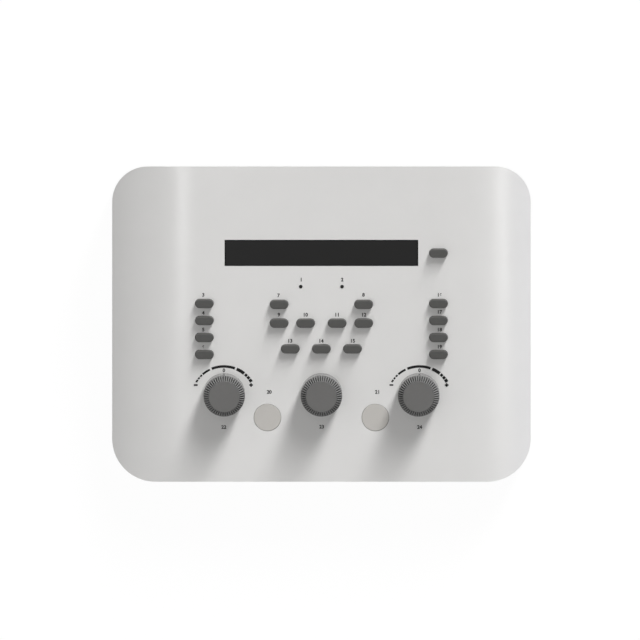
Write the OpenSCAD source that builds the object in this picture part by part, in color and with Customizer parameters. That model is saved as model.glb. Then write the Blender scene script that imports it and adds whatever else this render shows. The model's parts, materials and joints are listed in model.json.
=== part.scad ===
// Desktop audiometer: a wedge-shaped white casing whose panel slopes down towards the user.
// Origin: bottom centre, on the table. +X to the user's right, +Y to the rear, +Z up.

/* [Casing] */
// Width of the casing
body_w = 300; // [290:1:340]
// Depth of the sloping panel, as seen from straight above
panel_d = 226; // [222:1:250]
// Height of the panel's front edge above the table
front_h = 36; // [34:0.5:50]
// Slope of the panel, in degrees
tilt = 8; // [5:0.5:11]
// Radius of the casing's two front corners
corner_r = 31; // [24:0.5:40]
// Radius of the casing's two rear corners
rear_corner_r = 25.5; // [22:0.5:40]
// Half width of the flat middle of the panel
flat_half_w = 84; // [80:1:95]
// Radius of the curved flanks beside the flat middle
flank_r = 151; // [140:1:220]
// Wall of both cover halves
wall = 2.5; // [2:0.1:3]
// Depth of the top cover's rim, square to the panel
rim_d = 20; // [19:0.5:23]
// How far the base stands back inside the top cover's outline
base_step = 0.5; // [0.2:0.1:1]
// Diameter of the posts that take the casing screws
post_d = 10; // [9:0.5:12]
// Distance of those posts from the casing's sides
post_inset = 22.4; // [20:0.2:26]

/* [Display] */
// Length of the display window
window_l = 138.5; // [120:0.5:142]
// Height of the display window
window_h = 18.7; // [16:0.1:20]
// Thickness of the display window
window_t = 1.2; // [1:0.1:1.4]
// Thickness of the foam frame under the window
gasket_t = 0.3; // [0.2:0.05:0.4]
// Width of the ledge that carries the window
window_ledge = 1.5; // [1:0.1:2]
// Place of the window's centre, up the panel from its middle
window_v = 51.5; // [50:0.5:54]
// Size of the display's metal frame, along the panel
lcd_l = 132; // [110:1:134]
// Size of the display's metal frame, up the panel
lcd_h = 27; // [24:0.5:28]
// Depth of the display's metal frame
lcd_d = 5.2; // [4.5:0.1:6]
// Thickness of the display glass
lcd_glass_t = 2.2; // [1.5:0.1:2.6]

/* [Keys] */
// Length of a pill-shaped key
key_l = 13.2; // [12:0.1:15]
// Width of a pill-shaped key
key_w = 6.2; // [5.5:0.1:7]
// How far a key stands out of the panel
key_proud = 3.4; // [2:0.1:4]
// Bevel around a key's top
key_bevel = 0.4; // [0.3:0.05:0.8]
// Travel of a pill-shaped key
key_travel = 1; // [0.6:0.05:1.2]
// Width of the lip that holds a key under the panel
key_lip = 1.1; // [0.8:0.1:1.4]
// Thickness of that lip
key_lip_t = 1; // [0.8:0.05:1.2]
// Diameter of a key's stem
key_stem_d = 3.5; // [3:0.1:4]
// Distance of the two side columns from the panel's middle
side_key_x = 83.9; // [82:0.1:88]
// Place of the top key of a side column
side_key_v = 15; // [14:0.1:16]
// Pitch of the four keys in a side column
side_key_pitch = 12.3; // [11.5:0.1:13]
// Place of the two ear keys, from the middle and up the panel
ear_key_x = 30.3; // [29:0.1:34]
// Place of the ear keys up the panel
ear_key_v = 14.4; // [13.5:0.1:15]
// Place of the row of four keys up the panel
row_key_v = 0.8; // [0:0.1:2]
// Distance of the row's inner two keys from the middle
row_key_x = 11.3; // [10:0.1:12]
// Place of the row of three keys up the panel
route_key_v = -17.8; // [-19:0.1:-15]
// Distance of the row's outer two keys from the middle
route_key_x = 22.3; // [20:0.1:26]

/* [Round keys] */
// Diameter of the two flush round keys
pad_d = 19.4; // [17:0.1:21]
// Travel of a round key
pad_travel = 0.8; // [0.4:0.05:1]
// Distance of the round keys from the middle
pad_x = 38.7; // [37:0.1:40]
// Place of the round keys up the panel
pad_v = -67.6; // [-70:0.1:-66]
// Diameter of a round key's stem
pad_stem_d = 5; // [4:0.1:6]

/* [Knobs] */
// Diameter of a knob
knob_d = 29.8; // [26:0.2:31]
// Height of a knob above the panel
knob_h = 18; // [16:0.2:22]
// Diameter of the flat disc on a knob
knob_disc_d = 22; // [19:0.2:23]
// Height of the slanting fluted ring around the disc
knob_ring_h = 3.9; // [2.5:0.1:5]
// Number of flutes in that ring
knob_flutes = 50; // [40:1:60]
// Gap between a knob and the panel
knob_gap = 0.8; // [0.5:0.1:1.2]
// Distance of the outer knobs from the middle
knob_x = 69.7; // [68:0.1:74]
// Place of the knobs up the panel
knob_v = -50.2; // [-52:0.1:-48]
// Diameter of an encoder shaft
shaft_d = 6; // [5:0.1:6.4]
// Diameter of the threaded bush around a shaft
bush_d = 9; // [8.6:0.1:9.6]
// Side of an encoder's square body
encoder_w = 13; // [12:0.5:14]

/* [Indicators] */
// Diameter of an indicator's light pipe
pipe_d = 2.4; // [2:0.1:3]
// Distance of the indicators from the middle
pipe_x = 14.8; // [14:0.1:17]
// Place of the indicators up the panel
pipe_v = 27.1; // [25:0.1:28]

/* [Boards] */
// Thickness of each circuit board
board_t = 1.6; // [1.2:0.1:2]
// Depth of the key board's top face below the panel
key_board_w = 11; // [10.8:0.1:12]
// Height of a key switch housing
switch_h = 4.5; // [4:0.1:4.6]
// Side of a key switch housing
switch_w = 6.2; // [6:0.1:7]
// Width of the main board
main_board_l = 200; // [190:1:210]
// Depth of the main board, front to rear
main_board_d = 138; // [130:1:150]
// Height of the main board's posts above the casing floor
main_post_h = 6.5; // [5:0.5:8]
// Height of the plug header under and on each board
header_h = 3; // [2.5:0.1:4]
// Width of the ribbons
ribbon_w = 22; // [16:1:30]
// Thickness of the ribbons
ribbon_t = 0.4; // [0.3:0.05:0.6]

/* [Sockets] */
// Number of 6.35 mm phone sockets
jack_count = 4; // [3:1:5]
// Pitch of the phone sockets
jack_pitch = 26; // [22:0.5:28]
// Diameter of a phone socket's bore
jack_bore_d = 6.5; // [6.4:0.05:6.6]
// Depth of a phone socket's bore
jack_bore_l = 28; // [26:0.5:30]
// Diameter of a phone socket's threaded nose
jack_nose_d = 9.4; // [9:0.1:10]
// Width of a phone socket's body
jack_body_w = 15; // [13:0.5:16]
// Height of a phone socket's body
jack_body_h = 13; // [12.5:0.5:14]
// Place of the middle of the phone sockets, across the rear
jack_mid_x = -42; // [-44:1:-36]
// Place of the data socket across the rear
usb_x = 40; // [36:1:44]
// Place of the power inlet across the rear
inlet_x = 76; // [70:1:80]
// Thickness of the rear plate
plate_t = 1.5; // [1.2:0.1:2]
// Length of the opening in the base's rear wall
bay_l = 204; // [196:1:208]
// Height of the opening in the base's rear wall
bay_h = 20; // [19:0.5:22]

/* [Feet and screws] */
// Height of the feet below the casing
foot_h = 3; // [2:0.5:4]
// Diameter of a foot
foot_d = 14; // [12:0.5:18]
// Depth of the recess that holds a foot
foot_seat = 1; // [0.6:0.1:1.4]
// Diameter of a casing screw's shank
screw_d = 3; // [2.6:0.1:3]
// Diameter of a casing screw's head
screw_head_d = 5.6; // [5:0.1:6]
// Height of a casing screw's head
screw_head_h = 2; // [1.6:0.1:2.2]
// How far a casing screw reaches into the top cover's post
screw_grip = 8; // [6:0.5:9]
// Diameter of a board screw's shank
tack_d = 2.5; // [2:0.1:2.6]
// Diameter of a board screw's head
tack_head_d = 4.4; // [4:0.1:4.6]
// Height of a board screw's head
tack_head_h = 1.5; // [1.2:0.1:2]
// How far a board screw reaches into its post
tack_grip = 5; // [4:0.5:5.5]
// Diameter of a board's posts
tack_post_d = 6; // [5.6:0.2:7]

/* [Clearances] */
// Gap around a sliding key in the panel
key_gap = 0.2; // [0.15:0.05:0.3]
// Play between a key's lip and the panel when it is up
lip_gap = 0.1; // [0.05:0.05:0.2]
// Gap around a stem in its switch
stem_gap = 0.15; // [0.1:0.05:0.25]
// Gap around a fixed piece in its hole or pocket
seat_gap = 0.15; // [0.1:0.05:0.2]
// Gap around a turning shaft in its bush
shaft_gap = 0.05; // [0.03:0.01:0.08]
// Gap around a screw in its hole
screw_gap = 0.05; // [0.03:0.01:0.1]
// Gap between the two cover halves
joint_gap = 0.1; // [0:0.05:0.3]

/* [Hidden] */
$fn = 96;
reach = 600;  // longer than the casing, for cutting solids
cut = 1;      // how far a cutting solid passes a face

panel_z = front_h + panel_d / 2 * tan(tilt);

// Height above the table of a plane w below (minus) the panel, at a place y.
function plane_z(y, w) = panel_z + y * tan(tilt) + w / cos(tilt);

// Seen from above, a point v up the panel and w out of it lies at this y.
function from_above(v, w) = v * cos(tilt) - w * sin(tilt);

// Keys: name, place across, place up the panel.
KEYS = [
    ["power_key", side_key_x, window_v],
    ["tone_key", -side_key_x, side_key_v],
    ["warble_key", -side_key_x, side_key_v - side_key_pitch],
    ["speech_key", -side_key_x, side_key_v - 2 * side_key_pitch],
    ["masking_key", -side_key_x, side_key_v - 3 * side_key_pitch],
    ["print_key", side_key_x, side_key_v],
    ["step_key", side_key_x, side_key_v - side_key_pitch],
    ["options_key", side_key_x, side_key_v - 2 * side_key_pitch],
    ["talkover_key", side_key_x, side_key_v - 3 * side_key_pitch],
    ["left_ear_key", -ear_key_x, ear_key_v],
    ["right_ear_key", ear_key_x, ear_key_v],
    ["pulse_key", -ear_key_x, row_key_v],
    ["reverse_key", -row_key_x, row_key_v],
    ["boost_key", row_key_x, row_key_v],
    ["lock_key", ear_key_x, row_key_v],
    ["air_key", -route_key_x, route_key_v],
    ["bone_key", 0, route_key_v],
    ["freefield_key", route_key_x, route_key_v],
];

PADS = [
    ["present_pad", -pad_x],
    ["store_pad", pad_x],
];

KNOBS = [
    ["left_level", -knob_x],
    ["frequency", 0],
    ["right_level", knob_x],
];

// Depths below the panel.
key_board_low = key_board_w + board_t;
lcd_top = wall + 2 * seat_gap;
lcd_frame_t = 0.8;
lcd_view_edge = 5;
lcd_board_top = lcd_top + lcd_d;
lcd_board_low = lcd_board_top + board_t;

// Outline of the key board, up the panel and across it.
board_edge = 3.5;
key_board_half = side_key_x + key_l / 2 + board_edge;
key_board_front = pad_v - board_edge - tack_post_d / 2;
lcd_board_l = lcd_l + 2 * tack_post_d + 2 * board_edge;
lcd_board_h = lcd_h + 2 * board_edge;
key_board_rear = window_v - lcd_board_h / 2 - cut;
key_arm_from = lcd_board_l / 2 + cut;

// Posts of the two panel boards.
lcd_posts = [for (sx = [-1, 1], sy = [-1, 1])
    [sx * (lcd_board_l - tack_post_d) / 2, window_v + sy * (lcd_board_h - tack_post_d) / 2]];
key_post_x = ear_key_x + key_l + key_lip + tack_post_d + board_edge;
key_posts = [for (sx = [-1, 1])
    each [
        [sx * key_post_x, key_board_rear - tack_post_d / 2],
        [sx * ((pad_x + knob_x) / 2 - tack_post_d), (route_key_v + knob_v) / 2],
        [sx * (key_board_half - tack_post_d / 2), key_board_front + tack_post_d / 2],
    ]];

// Casing posts stand just inside the corners.
casing_posts = [for (sx = [-1, 1], sy = [-1, 1])
    [sx * (body_w / 2 - post_inset), sy * (panel_d / 2 - post_inset - cut)]];
post_drop = 2;
function post_meet(y) = plane_z(y, -rim_d) - post_drop;
screw_seat = 6;

// Feet stand inboard of the casing posts.
foot_x = body_w / 2 - post_inset - post_d / 2 - foot_d / 2 - 4;
foot_y = panel_d / 2 - post_inset;

// Base, rear wall and rear plate.
floor_z = foot_h + wall;
rear_out = panel_d / 2 - base_step;
rear_in = rear_out - wall;
plate_in = rear_in - plate_t;
main_board_z = floor_z + main_post_h;
main_top = main_board_z + board_t;
main_board_rear = plate_in - 2;
jack_z = main_top + jack_body_h / 2;
bay_z = jack_z - bay_h / 2;
plate_margin = 4;
plate_rib = 2;
main_board_front = main_board_rear - main_board_d;
main_post_edge = 6;   // from a post's middle to the board's edge
socket_room = 32;     // depth of the board's rear strip, kept for the sockets
main_posts = [for (sx = [-1, 1], y = [main_board_front + main_post_edge, main_board_rear - socket_room])
    [sx * (main_board_l / 2 - main_post_edge), y]];
chip_row = main_board_front + main_board_d / 2;
cap_row = main_board_rear - socket_room - 1;
cap_d = 8;
cap_h = 11;
cap_pitch = 14;
cap_edge = 26;        // from the board's edge to the first capacitor
cap_from = -main_board_l / 2 + cap_edge;
driver_w = 6;
driver_l = 9;
driver_h = 1.8;
processor_w = 20;
processor_h = 2;
codec_w = 12;
codec_h = 1.6;
codec_x = -40;
processor_gap = 24;   // between the rows of the processor and of the drivers
processor_row = chip_row - processor_gap;
data_chip_l = 16;
data_chip_d = 10;
data_chip_h = 4;
power_coil_w = 12;
power_coil_h = 7;

function jack_x(i) = jack_mid_x + (i - (jack_count - 1) / 2) * jack_pitch;
jack_nut_h = 2;
jack_nut_af = 12;
jack_nose_l = plate_t + jack_nut_h + 0.4;
jack_end_wall = 2;

usb_w = 12;
usb_h = 11;
usb_l = 18;
usb_mouth_w = 8.6;
usb_mouth_h = 7.8;
usb_depth = 13;
usb_tongue_back = 4.6;
inlet_w = 10;
inlet_h = 11;
inlet_l = 14;
inlet_bore_d = 6.4;
inlet_depth = 9;
inlet_pin_d = 2;
inlet_pin_back = 4.4;
socket_proud = 0.5;

// Encoders.
bush_proud = 3.4;
washer_t = 0.5;
washer_d = 14;
nut_t = 1.9;
nut_af = 12;
shaft_low = 3;
knob_well_d = 21;
knob_well_h = 5;
knob_bore_h = 15;
disc_t = 0.8;
disc_proud = 0.1;
disc_rim = 0.3;
disc_seat_r = knob_disc_d / 2 - disc_rim;
flute_r = 0.6;
flute_depth = 0.35;
flute_run_out = 0.25;

// Key switches.
well_floor = 0.8;
dome_h = 0.4;
dome_play = 0.2;
well_low = key_board_w - well_floor;
stem_low = well_low - dome_h - dome_play - key_travel;
pad_lip = 1.3;
pad_lip_t = 1;
pad_switch_w = 9;
pad_stem_low = well_low - dome_h - dome_play - pad_travel;

// Indicators.
led_d = 3;
led_h = 2.6;
pipe_low = key_board_w - led_h - 0.3;
pipe_flange_d = pipe_d + 1.8;
pipe_flange_t = 0.8;
pipe_proud = 0.15;

header_l = ribbon_w + 3;
header_d = 5;
lcd_header_y = from_above(window_v, -lcd_board_low);
key_header_y = from_above(0, -key_board_low);
ribbon_x = 45;
ribbon_gap = 0.3;
header_clear = 5;   // free board between the display's header and the capacitors
display_header_y = cap_row - cap_d / 2 - header_clear - header_d / 2;
ribbon_lean = 12;   // how far the keypad's ribbon leans to the rear
keypad_header_y = key_header_y + ribbon_lean;

// ---------- frames and shared shapes ----------

// Puts what is drawn at the panel's middle, Z out of the panel, onto the sloping panel.
module on_panel() {
    translate([0, 0, panel_z]) rotate([tilt, 0, 0]) children();
}

// A rectangle whose front corners have one radius and whose rear corners another.
module casing_outline(w, d, r_front, r_rear) {
    translate([-w / 2, -d / 2 + r_front]) square([w, d - r_front - r_rear]);
    translate([-w / 2 + r_front, -d / 2]) square([w - 2 * r_front, d / 2]);
    translate([-w / 2 + r_rear, 0]) square([w - 2 * r_rear, d / 2]);
    for (side = [-1, 1]) {
        translate([side * (w / 2 - r_front), -d / 2 + r_front]) circle(r = r_front);
        translate([side * (w / 2 - r_rear), d / 2 - r_rear]) circle(r = r_rear);
    }
}

module pill(l, w) {
    square([l - w, w], center = true);
    for (side = [-1, 1]) translate([side * (l - w) / 2, 0]) circle(d = w);
}

// The panel's cross-section: flat in the middle, falling along an arc on each side.
module panel_section(inset, depth) {
    translate([-flat_half_w, -depth]) square([2 * flat_half_w, depth - inset]);
    for (side = [-1, 1])
        intersection() {
            translate([side * flat_half_w, -flank_r]) circle(r = flank_r - inset, $fn = 360);
            translate([side * body_w / 2, -depth / 2]) square([body_w, depth], center = true);
        }
}

// The space inside the top cover's outer faces, moved in by inset and open below at depth.
module cover_space(inset, depth) {
    intersection() {
        on_panel() rotate([90, 0, 0]) linear_extrude(reach, center = true) panel_section(inset, depth);
        linear_extrude(reach, center = true)
            casing_outline(body_w - 2 * inset, panel_d - 2 * inset, corner_r - inset, rear_corner_r - inset);
    }
}

// The space inside the base's outer walls, moved in by inset, from z_low up.
module base_space(inset, z_low) {
    in = base_step + inset;
    translate([0, 0, z_low])
        linear_extrude(reach)
            casing_outline(body_w - 2 * in, panel_d - 2 * in, corner_r - in, rear_corner_r - in);
}

// What lies below the sloping joint between the two cover halves.
module below_joint() {
    intersection() {
        children();
        on_panel() translate([0, 0, -rim_d - joint_gap - reach / 2]) cube(reach, center = true);
    }
}

// A board with its underside on the plane z = 0, drilled for its screws.
module drilled(posts, hole_d) {
    difference() {
        children();
        for (p = posts) translate([p[0], p[1], -cut]) cylinder(d = hole_d, h = board_t + 2 * cut);
    }
}

// ---------- casing ----------

module panel_openings() {
    for (k = KEYS) {
        translate([k[1], k[2], -2 * wall])
            linear_extrude(3 * wall) pill(key_l + 2 * key_gap, key_w + 2 * key_gap);
        // Where a key's lip reaches under a curved flank, the flank is cut flat for it.
        if (abs(k[1]) + key_l / 2 + key_lip > flat_half_w)
            translate([k[1], k[2], -4 * wall])
                linear_extrude(3 * wall)
                    pill(key_l + 2 * (key_lip + key_gap), key_w + 2 * (key_lip + key_gap));
    }
    for (p = PADS) translate([p[1], pad_v, -2 * wall]) cylinder(d = pad_d + 2 * key_gap, h = 3 * wall);
    for (k = KNOBS) translate([k[1], knob_v, -2 * wall]) cylinder(d = bush_d + 2 * seat_gap, h = 3 * wall);
    for (side = [-1, 1])
        translate([side * pipe_x, pipe_v, -2 * wall]) cylinder(d = pipe_d + 2 * seat_gap, h = 3 * wall);
    translate([0, window_v, 0]) {
        linear_extrude(4 * (window_t + gasket_t), center = true)
            square([window_l + 2 * seat_gap, window_h + 2 * seat_gap], center = true);
        linear_extrude(4 * wall, center = true)
            square([window_l - 2 * window_ledge, window_h - 2 * window_ledge], center = true);
    }
}

module board_posts(posts, low) {
    for (p = posts)
        translate([p[0], p[1], -low])
            difference() {
                cylinder(d = tack_post_d, h = low - wall / 2);
                translate([0, 0, -cut]) cylinder(d = tack_d + 2 * screw_gap, h = tack_grip + 0.5 + cut);
            }
}

module top_cover() {
    color("gainsboro") {
        difference() {
            union() {
                difference() {
                    cover_space(0, rim_d);
                    cover_space(wall, reach / 2);
                }
                intersection() {
                    cover_space(wall / 2, reach / 2);
                    for (p = casing_posts)
                        translate([p[0], p[1], post_meet(p[1])]) cylinder(d = post_d, h = reach);
                }
            }
            for (p = casing_posts)
                translate([p[0], p[1], post_meet(p[1]) - cut])
                    cylinder(d = screw_d + 2 * screw_gap, h = screw_grip + 0.5 + cut);
            on_panel() panel_openings();
        }
        on_panel() {
            board_posts(key_posts, key_board_w);
            board_posts(lcd_posts, lcd_board_top);
        }
    }
}

module bottom_cover() {
    color("whitesmoke") difference() {
        union() {
            difference() {
                below_joint() base_space(0, foot_h);
                base_space(wall, floor_z);
                translate([-bay_l / 2, rear_in - cut, bay_z]) cube([bay_l, wall + 2 * cut, bay_h]);
            }
            for (p = casing_posts)
                translate([p[0], p[1], foot_h])
                    cylinder(d = post_d, h = post_meet(p[1]) - foot_h - joint_gap);
            for (p = main_posts)
                translate([p[0], p[1], floor_z - wall / 2])
                    cylinder(d = tack_post_d, h = main_post_h + wall / 2);
            for (side = [-1, 1])
                translate([side * (bay_l / 2 + plate_margin / 2) - plate_rib / 2,
                    plate_in - seat_gap - plate_rib, floor_z - wall / 2])
                    cube([plate_rib, plate_rib, bay_z + bay_h - floor_z + wall / 2]);
        }
        for (p = casing_posts)
            translate([p[0], p[1], 0]) {
                cylinder(d = screw_head_d + 4 * seat_gap, h = post_meet(p[1]) - screw_seat);
                cylinder(d = screw_d + 2 * seat_gap, h = reach);
            }
        for (p = main_posts)
            translate([p[0], p[1], main_board_z - tack_grip - 0.5])
                cylinder(d = tack_d + 2 * screw_gap, h = tack_grip + cut);
        for (sx = [-1, 1], sy = [-1, 1])
            translate([sx * foot_x, sy * foot_y, 0])
                cylinder(d = foot_d + 2 * seat_gap, h = foot_h + foot_seat);
    }
}

module rear_panel() {
    color("silver")
        translate([0, rear_in, 0]) rotate([90, 0, 0]) linear_extrude(plate_t) difference() {
            translate([-bay_l / 2 - plate_margin, bay_z - plate_margin])
                square([bay_l + 2 * plate_margin, bay_h + 2 * plate_margin]);
            for (i = [0:jack_count - 1])
                translate([jack_x(i), jack_z]) circle(d = jack_nose_d + 2 * seat_gap);
            translate([usb_x, main_top + usb_h / 2])
                square([usb_w + 2 * seat_gap, usb_h + 2 * seat_gap], center = true);
            translate([inlet_x, main_top + inlet_h / 2])
                square([inlet_w + 2 * seat_gap, inlet_h + 2 * seat_gap], center = true);
        }
}

module rubber_feet() {
    color("dimgray") for (sx = [-1, 1], sy = [-1, 1])
        translate([sx * foot_x, sy * foot_y, 0]) {
            cylinder(d1 = foot_d - 1.6, d2 = foot_d, h = 0.8);
            translate([0, 0, 0.8]) cylinder(d = foot_d, h = foot_h + foot_seat - 0.8);
        }
}

module casing_screws() {
    color("gray") for (p = casing_posts)
        translate([p[0], p[1], post_meet(p[1]) - screw_seat]) {
            translate([0, 0, -screw_head_h]) cylinder(d = screw_head_d, h = screw_head_h);
            cylinder(d = screw_d, h = screw_seat + screw_grip);
        }
}

// ---------- display ----------

module display_window() {
    color("#2b2b2b") on_panel()
        translate([0, window_v, -gasket_t - window_t - seat_gap / 2])
            translate([0, 0, gasket_t]) linear_extrude(window_t) square([window_l, window_h], center = true);
}

module window_gasket() {
    color("black") on_panel()
        translate([0, window_v, -gasket_t - window_t - seat_gap / 2])
            linear_extrude(gasket_t) difference() {
                square([window_l, window_h], center = true);
                square([window_l - 2 * window_ledge, window_h - 2 * window_ledge], center = true);
            }
}

module lcd_frame() {
    color("darkgray") on_panel() translate([0, window_v, -lcd_board_top]) difference() {
        linear_extrude(lcd_d) square([lcd_l, lcd_h], center = true);
        translate([0, 0, -cut]) linear_extrude(lcd_d - lcd_frame_t + cut)
            square([lcd_l - 2 * lcd_frame_t, lcd_h - 2 * lcd_frame_t], center = true);
        linear_extrude(lcd_d + cut)
            square([lcd_l - 2 * lcd_view_edge, lcd_h - 2 * lcd_view_edge], center = true);
    }
}

// A slab that fits inside the display's metal frame, with its underside at height low above the board.
module lcd_slab(low, t) {
    play = 2 * (lcd_frame_t + seat_gap);
    on_panel() translate([0, window_v, low - lcd_board_top])
        linear_extrude(t) square([lcd_l - play, lcd_h - play], center = true);
}

module lcd_glass() {
    color("darkslategray") lcd_slab(lcd_d - lcd_frame_t - lcd_glass_t, lcd_glass_t);
}

module lcd_backlight() {
    color("white") lcd_slab(0, lcd_d - lcd_frame_t - lcd_glass_t);
}

module lcd_board() {
    color("darkgreen") on_panel() translate([0, 0, -lcd_board_low])
        drilled(lcd_posts, tack_d + 2 * seat_gap)
            linear_extrude(board_t)
                translate([0, window_v]) square([lcd_board_l, lcd_board_h], center = true);
}

// ---------- key board ----------

module light_pipes() {
    color("#202020") on_panel() for (side = [-1, 1])
        translate([side * pipe_x, pipe_v, -pipe_low]) {
            cylinder(d = pipe_d, h = pipe_low + pipe_proud);
            translate([0, 0, pipe_low - wall - pipe_flange_t]) cylinder(d = pipe_flange_d, h = pipe_flange_t);
        }
}

module indicator_leds() {
    color("tomato") on_panel() for (side = [-1, 1])
        translate([side * pipe_x, pipe_v, -key_board_w]) {
            cylinder(d = led_d, h = led_h - led_d / 2);
            translate([0, 0, led_h - led_d / 2]) intersection() {
                sphere(d = led_d);
                cylinder(d = 2 * led_d, h = led_d);
            }
        }
}

module keypad_board() {
    color("darkgreen") on_panel() translate([0, 0, -key_board_low])
        drilled(key_posts, tack_d + 2 * seat_gap)
            linear_extrude(board_t) {
                translate([-key_board_half, key_board_front])
                    square([2 * key_board_half, key_board_rear - key_board_front]);
                translate([key_arm_from, key_board_front])
                    square([key_board_half - key_arm_from, window_v + key_w - key_board_front]);
            }
}

// A switch: a square housing with a round well for the stem and a snap dome at its bottom.
module switch(w, stem_d) {
    difference() {
        translate([0, 0, -key_board_w]) linear_extrude(switch_h) square(w, center = true);
        translate([0, 0, -well_low]) cylinder(d = stem_d + 2 * stem_gap, h = switch_h);
    }
    translate([0, 0, -well_low]) cylinder(d1 = stem_d - 0.2, d2 = stem_d / 2, h = dome_h);
}

module key_switches() {
    color("#303030") on_panel() for (k = KEYS) translate([k[1], k[2], 0]) switch(switch_w, key_stem_d);
}

module pad_switches() {
    color("#303030") on_panel() for (p = PADS) translate([p[1], pad_v, 0]) switch(pad_switch_w, pad_stem_d);
}

module encoder_bodies() {
    color("slategray") on_panel() for (k = KNOBS) translate([k[1], knob_v, 0]) difference() {
        union() {
            translate([0, 0, -key_board_w])
                linear_extrude(key_board_w - wall) square(encoder_w, center = true);
            translate([0, 0, -wall - cut]) cylinder(d = bush_d, h = wall + cut + bush_proud);
        }
        translate([0, 0, -key_board_w + shaft_low - 0.5])
            cylinder(d = shaft_d + 2 * shaft_gap, h = reach);
    }
}

module encoder_washers() {
    color("silver") on_panel() for (k = KNOBS) translate([k[1], knob_v, 0]) difference() {
        cylinder(d = washer_d, h = washer_t);
        translate([0, 0, -cut]) cylinder(d = bush_d + 2 * seat_gap, h = washer_t + 2 * cut);
    }
}

module encoder_nuts() {
    color("silver") on_panel() for (k = KNOBS) translate([k[1], knob_v, washer_t]) difference() {
        cylinder(d = nut_af / cos(30), h = nut_t, $fn = 6);
        translate([0, 0, -cut]) cylinder(d = bush_d + 2 * screw_gap, h = nut_t + 2 * cut);
    }
}

// A board screw with its head's seat on z = 0 and its shank going up through the board.
module tack() {
    translate([0, 0, -tack_head_h]) cylinder(d = tack_head_d, h = tack_head_h);
    cylinder(d = tack_d, h = board_t + tack_grip);
}

module board_screws() {
    color("gray") {
        on_panel() {
            for (p = key_posts) translate([p[0], p[1], -key_board_low]) tack();
            for (p = lcd_posts) translate([p[0], p[1], -lcd_board_low]) tack();
        }
        for (p = main_posts) translate([p[0], p[1], main_top]) mirror([0, 0, 1]) tack();
    }
}

// ---------- main board ----------

module main_board() {
    color("darkgreen") translate([0, 0, main_board_z])
        drilled(main_posts, tack_d + 2 * seat_gap)
            linear_extrude(board_t)
                translate([-main_board_l / 2, main_board_rear - main_board_d])
                    square([main_board_l, main_board_d]);
}

module chip(x, y, w, d, h) {
    translate([x - w / 2, y - d / 2, main_top]) cube([w, d, h]);
}

module board_components() {
    color("#252525") {
        chip(0, processor_row, processor_w, processor_w, processor_h);
        chip(codec_x, processor_row, codec_w, codec_w, codec_h);
        for (i = [0:3]) chip(cap_from + cap_pitch * i, chip_row, driver_w, driver_l, driver_h);
        chip(usb_x, cap_row, data_chip_l, data_chip_d, data_chip_h);
        chip(inlet_x, cap_row, power_coil_w, power_coil_w, power_coil_h);
        chip(-ribbon_x, display_header_y, header_l, header_d, header_h);
        chip(ribbon_x, keypad_header_y, header_l, header_d, header_h);
        on_panel() {
            translate([-ribbon_x, window_v, -lcd_board_low - header_h / 2])
                cube([header_l, header_d, header_h], center = true);
            translate([ribbon_x, 0, -key_board_low - header_h / 2])
                cube([header_l, header_d, header_h], center = true);
        }
    }
}

module capacitors() {
    color("midnightblue") for (i = [0:3])
        translate([cap_from + cap_pitch * i, cap_row, main_top]) cylinder(d = cap_d, h = cap_h);
}

// A flat ribbon that drops from z_high at y_high, leans over to y_low and ends at z_low.
module ribbon(x, y_high, y_low, z_high, z_low) {
    fall = (z_high - z_low) / 4;
    translate([x + ribbon_w / 2, 0, 0]) rotate([90, 0, -90]) mirror([1, 0]) linear_extrude(ribbon_w)
        polygon([
            [y_high, z_high],
            [y_high, z_high - fall],
            [y_low, z_low + fall],
            [y_low, z_low],
            [y_low + ribbon_t, z_low],
            [y_low + ribbon_t, z_low + fall],
            [y_high + ribbon_t, z_high - fall],
            [y_high + ribbon_t, z_high],
        ]);
}

module display_ribbon() {
    low = plane_z(lcd_header_y, -lcd_board_low - header_h) - ribbon_gap;
    color("lightgray")
        ribbon(-ribbon_x, lcd_header_y, display_header_y, low, main_top + header_h + ribbon_gap);
}

module keypad_ribbon() {
    low = plane_z(key_header_y, -key_board_low - header_h) - ribbon_gap;
    color("lightgray")
        ribbon(ribbon_x, key_header_y, keypad_header_y, low, main_top + header_h + ribbon_gap);
}

// ---------- rear sockets ----------

module phone_jacks() {
    color("#202020") for (i = [0:jack_count - 1])
        translate([jack_x(i), plate_in, jack_z]) rotate([-90, 0, 0]) difference() {
            body_l = jack_bore_l - jack_nose_l + jack_end_wall;
            union() {
                translate([0, 0, -body_l / 2]) cube([jack_body_w, jack_body_h, body_l], center = true);
                cylinder(d = jack_nose_d, h = jack_nose_l);
            }
            translate([0, 0, jack_nose_l - jack_bore_l]) cylinder(d = jack_bore_d, h = jack_bore_l + cut);
        }
}

module jack_nuts() {
    color("silver") for (i = [0:jack_count - 1])
        translate([jack_x(i), rear_in, jack_z]) rotate([-90, 0, 0]) difference() {
            cylinder(d = jack_nut_af / cos(30), h = jack_nut_h, $fn = 6);
            translate([0, 0, -cut]) cylinder(d = jack_nose_d + 2 * screw_gap, h = jack_nut_h + 2 * cut);
        }
}

module usb_socket() {
    color("silver") translate([usb_x, rear_in + socket_proud, main_top + usb_h / 2]) {
        difference() {
            translate([-usb_w / 2, -usb_l, -usb_h / 2]) cube([usb_w, usb_l, usb_h]);
            translate([-usb_mouth_w / 2, -usb_depth, -usb_mouth_h / 2])
                cube([usb_mouth_w, usb_depth + cut, usb_mouth_h]);
        }
        translate([-usb_mouth_w / 3, -usb_depth - cut, -usb_mouth_h / 5])
            cube([usb_mouth_w * 2 / 3, usb_depth + cut - usb_tongue_back, usb_mouth_h * 2 / 5]);
    }
}

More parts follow.
